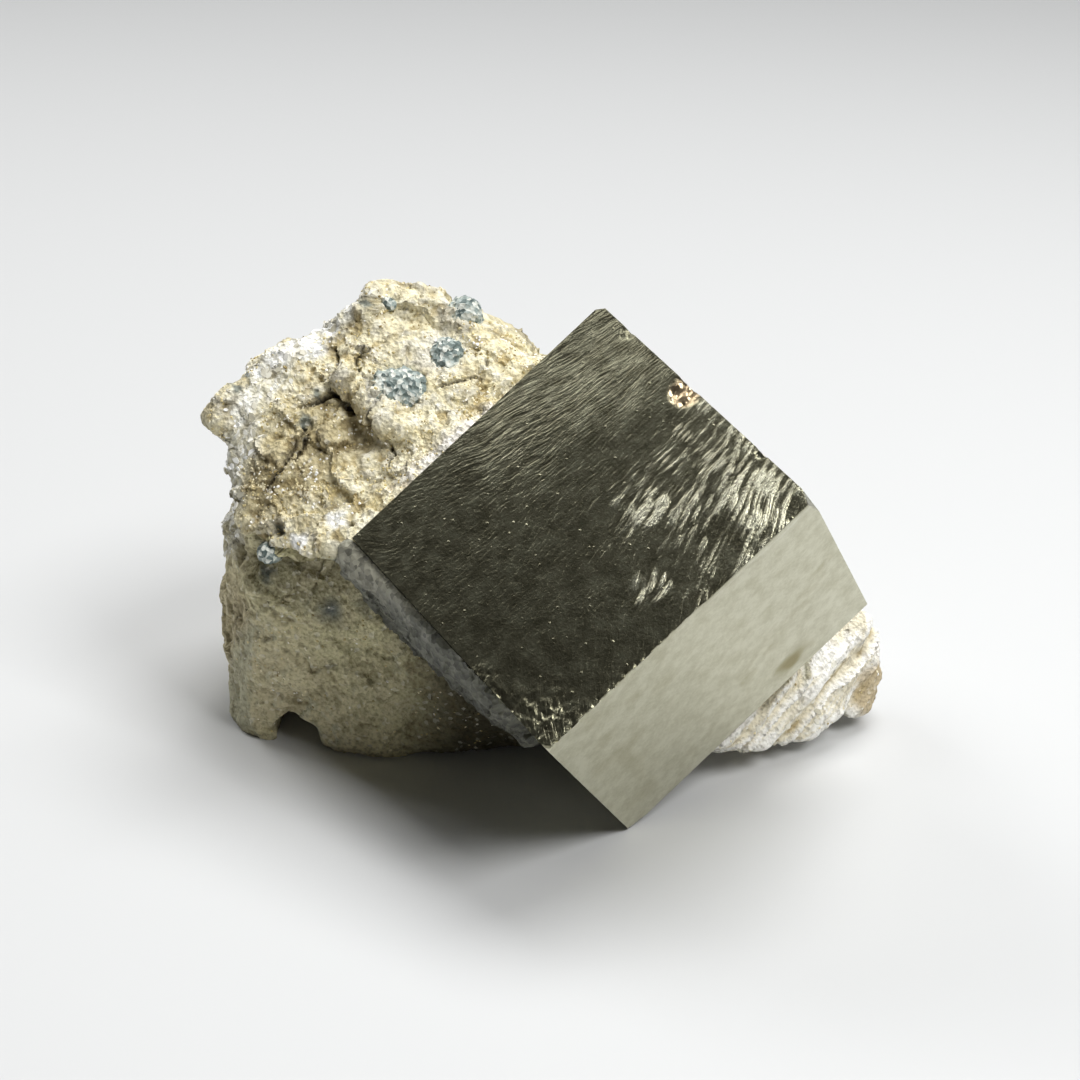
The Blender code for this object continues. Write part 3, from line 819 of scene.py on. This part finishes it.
def crystal_shape():
    """The crystal with its growth lines, worn edges, chipped corners and losses."""
    local, quads = crystal_lattice()
    x, y, z = local.T
    low_y, low_x, low_z = y < 1e-6, x < 1e-6, z < 1e-6 - CRYSTAL_SIZE[2]
    high_x, high_y, top = x > CRYSTAL_SIZE[0] - 1e-6, y > CRYSTAL_SIZE[1] - 1e-6, z > -1e-6
    height, back, sheaf, crumb, fan = top_face(local)
    moved = local.copy()
    moved[:, 2] += np.where(top, height - 0.04, 0)
    ragged = ease(0.5, 0.0, y) * ease(17.0, 8.0, x) + ease(0.45, 0.0, x) * ease(14.0, 4.0, y)
    moved[:, 2] -= np.where(top, 0.16 * ragged * (cloud(local, 0.45, 221) > 0), 0)
    moved[:, 1] += np.where(low_y, 0.10 * ease(0.5, 0.0, -z) * ease(20.0, 12.0, x)
                            * (cloud(local, 0.5, 223) > 0.1), 0)
    near_lines = growth_lines(x, z + 0.25 * patches(x, z, 5.0, 225), 0.8, 7.0, 227)
    near = 0.006 * near_lines + 0.003 * patches(x, z, 3.0, 229) - 0.02
    moved[:, 1] -= np.where(low_y, near, 0)
    ledge = ease(0.95, 0.85, -z + 0.25 * patches(x, z, 2.0, 228)) * ease(18.5, 19.2, x)
    moved[:, 1] -= np.where(low_y, 0.09 * ledge, 0)
    side_lines = growth_lines(y, z, 0.7, 6.0, 231)
    moved[:, 0] += np.where(high_x, 0.010 * side_lines - 0.02, 0)
    moved[:, 0] -= np.where(low_x, 0.010 * side_lines - 0.02, 0)
    moved[:, 1] += np.where(high_y, 0.010 * growth_lines(z, x, 0.7, 6.0, 233) - 0.02, 0)
    moved[:, 2] -= np.where(low_z, 0.010 * growth_lines(x, y, 0.7, 6.0, 235) - 0.02, 0)

    long_x, long_y, deep = CRYSTAL_SIZE
    low, high = np.array((0, 0, -deep)), np.array((long_x, long_y, 0))
    for first, second in ((0, 1), (0, 2), (1, 2)):
        for turn in ((-1, -1), (-1, 1), (1, -1), (1, 1)):
            out = np.zeros(3)
            out[[first, second]] = turn
            corner = np.where(out > 0, high, low) * np.abs(out)
            corner[first] -= turn[0] * EDGE_WEAR
            moved = flat_cut(moved, corner, out)
    moved = corner_cut(moved, (long_x, long_y, 0), (-0.8, -0.7, -1.0))
    moved = corner_cut(moved, (long_x, 0, 0), (-0.7, 1.5, -3.0))
    moved = corner_cut(moved, (0, 0, 0), (0.7, 0.9, -0.7))
    moved = corner_cut(moved, (0, 0, -deep), (2.6, 0.4, 0.7))

    pits = (((31.6, 25.3, 0.2), 0.9, 0.25), (CRUSHED_SPOT, 1.8, 0.12),
            ((32.0, 6.7, 0.1), 0.75, 0.6))
    grit = rough(local, 0.5, 237, 2)
    for centre, size, depth in pits:
        inside = ease(size, size * 0.5, np.linalg.norm(local - np.array(centre), axis=1))
        moved = moved + INWARD * (inside * depth * (0.6 + 0.5 * grit))[:, None]
    crushed = ease(1.9, 1.1, np.linalg.norm(local - np.array(CRUSHED_SPOT), axis=1))
    crumbs = facets(local, 0.55, 239, 1.0)[0] * 0.16 - 0.1
    moved = moved + INWARD * (-crushed * crumbs)[:, None]
    return moved, quads, local, dict(back=back * top, sheaf=sheaf * top, crumb=crumb * top,
                                     fan=fan, top=top)


def make_crystal():
    """The crystal as a piece, marked with where each kind of line and stain is."""
    moved, quads, local, marks = crystal_shape()
    points = moved @ CRYSTAL_AXES + NEAR_CORNER
    mesh = bpy.data.meshes.new("pyrite_crystal_look")
    mesh.from_pydata(((points + TIP) * MM).tolist(), [], quads.tolist())
    piece = bpy.data.objects.new("pyrite_crystal_look", mesh)
    bpy.context.scene.collection.objects.link(piece)
    top = marks["top"]
    x, y, z = local.T
    lines = np.where(top[:, None], np.stack([x, marks["fan"], z * 0], axis=1),
                     np.stack([x, z + 0.25 * patches(x, z, 5.0, 225), y], axis=1))
    mark(piece, "growth", lines)
    mark(piece, "sheaf", np.clip(marks["sheaf"], 0, 1))
    mark(piece, "crumb", np.clip(marks["crumb"], 0, 1))
    mark(piece, "back", np.clip(marks["back"], 0, 1))
    mark(piece, "top", top.astype(float))
    mark(piece, "pit", blob(local, CRUSHED_SPOT, 1.9, 0.5))
    stain = ease(3.2, 0.6, np.hypot(x - 22.5, (z + 23.5) * 1.6) + 0.8 * patches(x, z, 1.5, 241))
    band = ease(2.2, 0.3, np.abs((x - 20) * 0.55 - (z + 18)) + 1.2 * patches(x, z, 2.5, 243))
    veil = 0.22 * band * ease(-0.2, 0.7, patches(x, z, 0.8, 245) + 0.4 * patches(x, z, 0.4, 246))
    veil = np.maximum(veil, 0.2 * ease(0.2, 0.8, patches(x, z, 2.2, 247)) * ease(18, 8, x))
    mark(piece, "stain", np.clip(np.maximum(stain, veil) * (y < 0.2), 0, 1))
    hidden = (y > 0.5) & (z < -0.5)
    thinned(piece, 0.5, hidden.astype(float))
    piece.data.shade_smooth()
    piece.data.set_sharp_from_angle(angle=math.radians(32))
    return piece


def pyrite():
    """Pyrite as it grew: an opaque metal-bright sulphide, pale brass with a grey cast. The lines
    on it are a few tenths of a millimetre apart, so they show as fine glints. The broad top face
    is painted a darker metal than the rest, except in its sheaves of lines: painted shade, for
    the dark surroundings that it mirrors."""
    made, add = new_material("pyrite_as_grown")
    place = add("TexCoord", {}).outputs["Object"]
    growth = add("Attribute", {}, attribute_name="growth").outputs["Vector"]
    sheaf = add("Attribute", {}, attribute_name="sheaf").outputs["Fac"]
    crumb = add("Attribute", {}, attribute_name="crumb").outputs["Fac"]
    back = add("Attribute", {}, attribute_name="back").outputs["Fac"]
    top = add("Attribute", {}, attribute_name="top").outputs["Fac"]
    stain = add("Attribute", {}, attribute_name="stain").outputs["Fac"]
    stretched = add("Mapping", {"Vector": growth, "Scale": (0.7, 3.4, 1.0)}).outputs[0]
    lines = add("TexNoise", {"Vector": stretched, "Scale": 1.0, "Detail": 3.0, "Roughness": 0.6,
                             "Distortion": 0.3}).outputs["Fac"]
    fuzz = add("TexNoise", {"Vector": place, "Scale": per(0.35), "Detail": 3.0,
                            "Roughness": 0.7}).outputs["Fac"]
    sparks = add("TexVoronoi", {"Vector": place, "Scale": per(0.4)})
    spark_pick = add("SeparateColor", {"Color": sparks.outputs["Color"]})
    spark_on = add("Math", {0: spark_pick.outputs["Red"], 1: 0.96}, operation="GREATER_THAN")
    spark_top = add("Math", {0: 0.35, 1: sparks.outputs["Distance"]}, operation="SUBTRACT",
                    use_clamp=True)
    spark = add("Math", {0: spark_on.outputs[0], 1: spark_top.outputs[0]}, operation="MULTIPLY")
    strong = add("Math", {0: sheaf, 1: 1.3, 2: 0.4}, operation="MULTIPLY_ADD")
    strong = add("Math", {0: back, 1: 0.6, 2: strong.outputs[0]}, operation="MULTIPLY_ADD")
    strong = add("Math", {0: crumb, 1: 0.7, 2: strong.outputs[0]}, operation="MULTIPLY_ADD")
    lined = add("Math", {0: lines, 1: strong.outputs[0]}, operation="MULTIPLY")
    fuzzed = add("Math", {0: fuzz, 1: 0.5, 2: lined.outputs[0]}, operation="MULTIPLY_ADD")
    height = add("Math", {0: spark.outputs[0], 1: 1.2, 2: fuzzed.outputs[0]},
                 operation="MULTIPLY_ADD")
    topped = add("MapRange", {"Value": top, "To Min": 0.00004, "To Max": 0.0001})
    bump = add("Bump", {"Height": height.outputs[0], "Strength": 1.0,
                        "Distance": topped.outputs[0]})
    cloudy = add("TexNoise", {"Vector": place, "Scale": per(1.6), "Detail": 5.0}).outputs["Fac"]
    mottled = add("MixRGB", {"Fac": 0.4, "Color1": cloudy, "Color2": fuzz}).outputs[0]
    metal = stops(add("ValToRGB", {"Fac": mottled}), (0.38, "b5b29a"), (0.60, "cac8b3"))
    # painted shade: outside its sheaves the broad top face gets a darker metal colour, for the dark
    # surroundings it mirrors
    top_face_painted_dark = stops(add("ValToRGB", {"Fac": cloudy}), (0.35, "77745f"), (0.65, "9c9a82"))
    plain = add("Math", {0: 1.0, 1: sheaf}, operation="SUBTRACT", use_clamp=True)
    plain = add("Math", {0: top, 1: plain.outputs[0]}, operation="MULTIPLY")
    metal = add("MixRGB", {"Fac": plain.outputs[0], "Color1": metal, "Color2": top_face_painted_dark}).outputs[0]
    tarnish = add("MixRGB", {"Fac": stain, "Color1": metal, "Color2": "8c8359"})
    pit = add("Attribute", {}, attribute_name="pit").outputs["Fac"]
    tarnish = add("MixRGB", {"Fac": pit, "Color1": tarnish.outputs[0], "Color2": "dcc5a0"})
    gloss = add("MapRange", {"Value": fuzz, "From Min": 0.3, "From Max": 0.7, "To Min": 0.285,
                             "To Max": 0.33})
    shader = add("BsdfPrincipled", {"Base Color": tarnish.outputs[0], "Metallic": 1.0,
                                    "Roughness": gloss.outputs[0],
                                    "Normal": bump.outputs["Normal"]})
    add("OutputMaterial", {"Surface": shader.outputs["BSDF"]})
    return made


crystal = make_crystal()
crystal.data.materials.append(pyrite())
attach(crystal, "root")
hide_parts("pyrite_crystal")

# ---------------------------------------------------------------------------------------------
# The quartz selvage: a band of grey quartz clouded with chlorite, two to three millimetres
# thick, that grew between the crystal's lower left side and the schist.

selvage = smoothed(regrown("quartz_selvage", "quartz_selvage_look", 0.22), 4)
points, normals = read(selvage), read(selvage, "normal")
broad, _ = facets(warped(points, 2.0, 0.6, 311), 2.6, 301, 0.9)
lumps, _ = facets(points, 1.1, 303, 0.9)
rise = 0.1 + 0.42 * broad + 0.22 * lumps + 0.10 * rough(points, 0.6, 305, 2)
points = points + normals * (rise * ease(0.1, 0.9, beside_crystal(points)[0]))[:, None]
local = in_crystal(points)
lift = ease(2.2, 0.5, -local[:, 0]) * ease(-5.0, -2.4, local[:, 2]) * (-0.4 - local[:, 2]) * 0.8
lift *= ease(-0.1, 0.4, normals @ CRYSTAL_AXES[2])
points = points + np.outer(np.maximum(lift, 0), CRYSTAL_AXES[2])
write(selvage, meet_crystal(points))
ground = np.tile(hex_colour("6f7062")[:3], (len(points), 1))
mottle = rough(points, 1.6, 321)
ground = washed(ground, "45463a", ease(0.1, 0.9, mottle))
ground = washed(ground, "a3a294", ease(-0.3, -1.0, mottle) * 0.8)
ground = washed(ground, "b8b5a2", ease(23.5, 26.5, points[:, 2] + mottle) * 0.7)
# painted shade: the selvage is painted darker towards its lower end, under the crystal's overhang
ground = washed(ground, "45453a", ease(21.0, 14.0, points[:, 2]) * 0.6)
paint(selvage, "ground", ground)
selvage.data.shade_smooth()
selvage.data.set_sharp_from_angle(angle=math.radians(40))


def grey_quartz():
    """Vein quartz clouded by chlorite: grey grains half a millimetre across, glassy in
    places and speckled with darker green-black."""
    made, add = new_material("grey_quartz")
    place = add("TexCoord", {}).outputs["Object"]
    cells = add("TexVoronoi", {"Vector": place, "Scale": per(0.5)})
    pick = add("SeparateColor", {"Color": cells.outputs["Color"]})
    ground = add("Attribute", {}, attribute_name="ground").outputs["Color"]
    speck = stops(add("ValToRGB", {"Fac": pick.outputs["Red"]}), (0.0, "8a8a8a"), (0.5, "e4e4e4"),
                  (0.9, "ffffff"))
    tint = add("MixRGB", {"Fac": 0.8, "Color1": ground, "Color2": speck}, blend_type="MULTIPLY")
    tint = tint.outputs[0]
    bump = add("Bump", {"Height": cells.outputs["Distance"], "Strength": 0.7, "Distance": 0.0002})
    shader = add("BsdfPrincipled", {"Base Color": tint, "Roughness": 0.5,
                                    "Normal": bump.outputs["Normal"]})
    add("OutputMaterial", {"Surface": shader.outputs["BSDF"]})
    return made


selvage.data.materials.append(grey_quartz())
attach(selvage, "root")
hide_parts("quartz_selvage")

# ---------------------------------------------------------------------------------------------
# The chlorite knots: rounded clots of fine blue-green chlorite flakes and white quartz grains,
# two to five millimetres across, that weather out of the schist's face.


def chlorite():
    """Chlorite with quartz: salt-and-pepper grains a quarter to half a millimetre across, dull
    blue-green to near black, and white."""
    made, add = new_material("chlorite_knot")
    place = add("TexCoord", {}).outputs["Object"]
    cells = add("TexVoronoi", {"Vector": place, "Scale": per(0.38)})
    pick = add("SeparateColor", {"Color": cells.outputs["Color"]})
    broad = add("TexNoise", {"Vector": place, "Scale": per(1.6), "Detail": 3.0}).outputs["Fac"]
    mixed = add("MixRGB", {"Fac": 0.4, "Color1": pick.outputs["Red"], "Color2": broad})
    tint = stops(add("ValToRGB", {"Fac": mixed.outputs[0]}), (0.22, "566562"), (0.42, "84918c"),
                 (0.55, "a9b3ae"), (0.74, "dee0d6"))
    bump = add("Bump", {"Height": cells.outputs["Distance"], "Strength": 0.8, "Distance": 0.0002})
    shader = add("BsdfPrincipled", {"Base Color": tint, "Roughness": 0.65,
                                    "Normal": bump.outputs["Normal"]})
    add("OutputMaterial", {"Surface": shader.outputs["BSDF"]})
    return made


KNOT_SWELL = (0.38, 0.25, 0.15, -0.05, 0.1)
knot_finish = chlorite()
for number in range(1, 6):
    node = "chlorite_knot_%d" % number
    knot = smoothed(regrown(node, node + "_look", 0.12), 4)
    points, normals = read(knot), read(knot, "normal")
    lumps, _ = facets(points, 0.7, 400 + number, 0.8)
    swell = KNOT_SWELL[number - 1] + 0.22 * lumps + 0.12 * rough(points, 0.5, 410 + number, 2)
    write(knot, points + normals * swell[:, None])
    knot.data.shade_smooth()
    knot.data.materials.append(knot_finish)
    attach(knot, "root")
    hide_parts(node)

# ---------------------------------------------------------------------------------------------
# The table, the light and the camera: a pale table under soft light from above, the front and
# behind. The light all round is dim, and dimmest over the left, where the crystal's top face
# mirrors it, so that face looks dark.

floor_shape = bmesh.new()
bmesh.ops.create_grid(floor_shape, x_segments=1, y_segments=1, size=1.5)
floor_mesh = bpy.data.meshes.new("table_top")
floor_shape.to_mesh(floor_mesh)
floor_shape.free()
floor = bpy.data.objects.new("table_top", floor_mesh)
floor.location = (0, 0, cad_box[0][2])
bpy.context.scene.collection.objects.link(floor)
card, add = new_material("white_card")
shader = add("BsdfPrincipled", {"Base Color": "d2d3d3", "Roughness": 0.8})
add("OutputMaterial", {"Surface": shader.outputs["BSDF"]})
floor.data.materials.append(card)

MIRRORED_WAY = Vector((-0.52, -0.18, 0.835)).normalized()
world = bpy.data.worlds.new("studio")
world.use_nodes = True
nodes, links = world.node_tree.nodes, world.node_tree.links
looking = nodes.new("ShaderNodeTexCoord")
toward = nodes.new("ShaderNodeVectorMath")
toward.operation = "DOT_PRODUCT"
toward.inputs[1].default_value = MIRRORED_WAY
links.new(looking.outputs["Generated"], toward.inputs[0])
board = nodes.new("ShaderNodeMapRange")
board.interpolation_type = "SMOOTHSTEP"
board.inputs["From Min"].default_value = math.cos(math.radians(66))
board.inputs["From Max"].default_value = math.cos(math.radians(40))
board.inputs["To Min"].default_value = 0.10
board.inputs["To Max"].default_value = 0.012
links.new(toward.outputs["Value"], board.inputs["Value"])
links.new(board.outputs[0], nodes["Background"].inputs["Strength"])
nodes["Background"].inputs["Color"].default_value = (1, 1, 1, 1)
bpy.context.scene.world = world
bpy.context.scene.view_settings.view_transform = "Standard"


def soft_light(name, place, aim, size, power):
    lamp = bpy.data.lights.new(name, "AREA")
    lamp.size = size
    lamp.energy = power
    made = bpy.data.objects.new(name, lamp)
    made.location = place
    made.rotation_euler = (Vector(place) - Vector(aim)).to_track_quat("Z", "Y").to_euler()
    bpy.context.scene.collection.objects.link(made)
    return made


soft_light("overhead", (0.11, 0.08, 0.46), (0, 0, 0.02), 0.26, 1.8)
soft_light("front_right", (0.26, -0.26, 0.48), (0, 0, 0.02), 0.20, 2.25)
soft_light("back_left", (-0.32, 0.26, 0.36), (0, 0, 0.02), 0.25, 0.95)

camera = bpy.data.cameras.new("camera")
camera.sensor_width = 36.0
camera.lens = 76.4
camera.clip_start = 0.01
viewpoint = bpy.data.objects.new("viewpoint", camera)
viewpoint.location = (np.array((-8.7, -185.2, 126.0)) + TIP) * MM
viewpoint.rotation_euler = (math.radians(63), 0, 0)
bpy.context.scene.collection.objects.link(viewpoint)
bpy.context.scene.camera = viewpoint
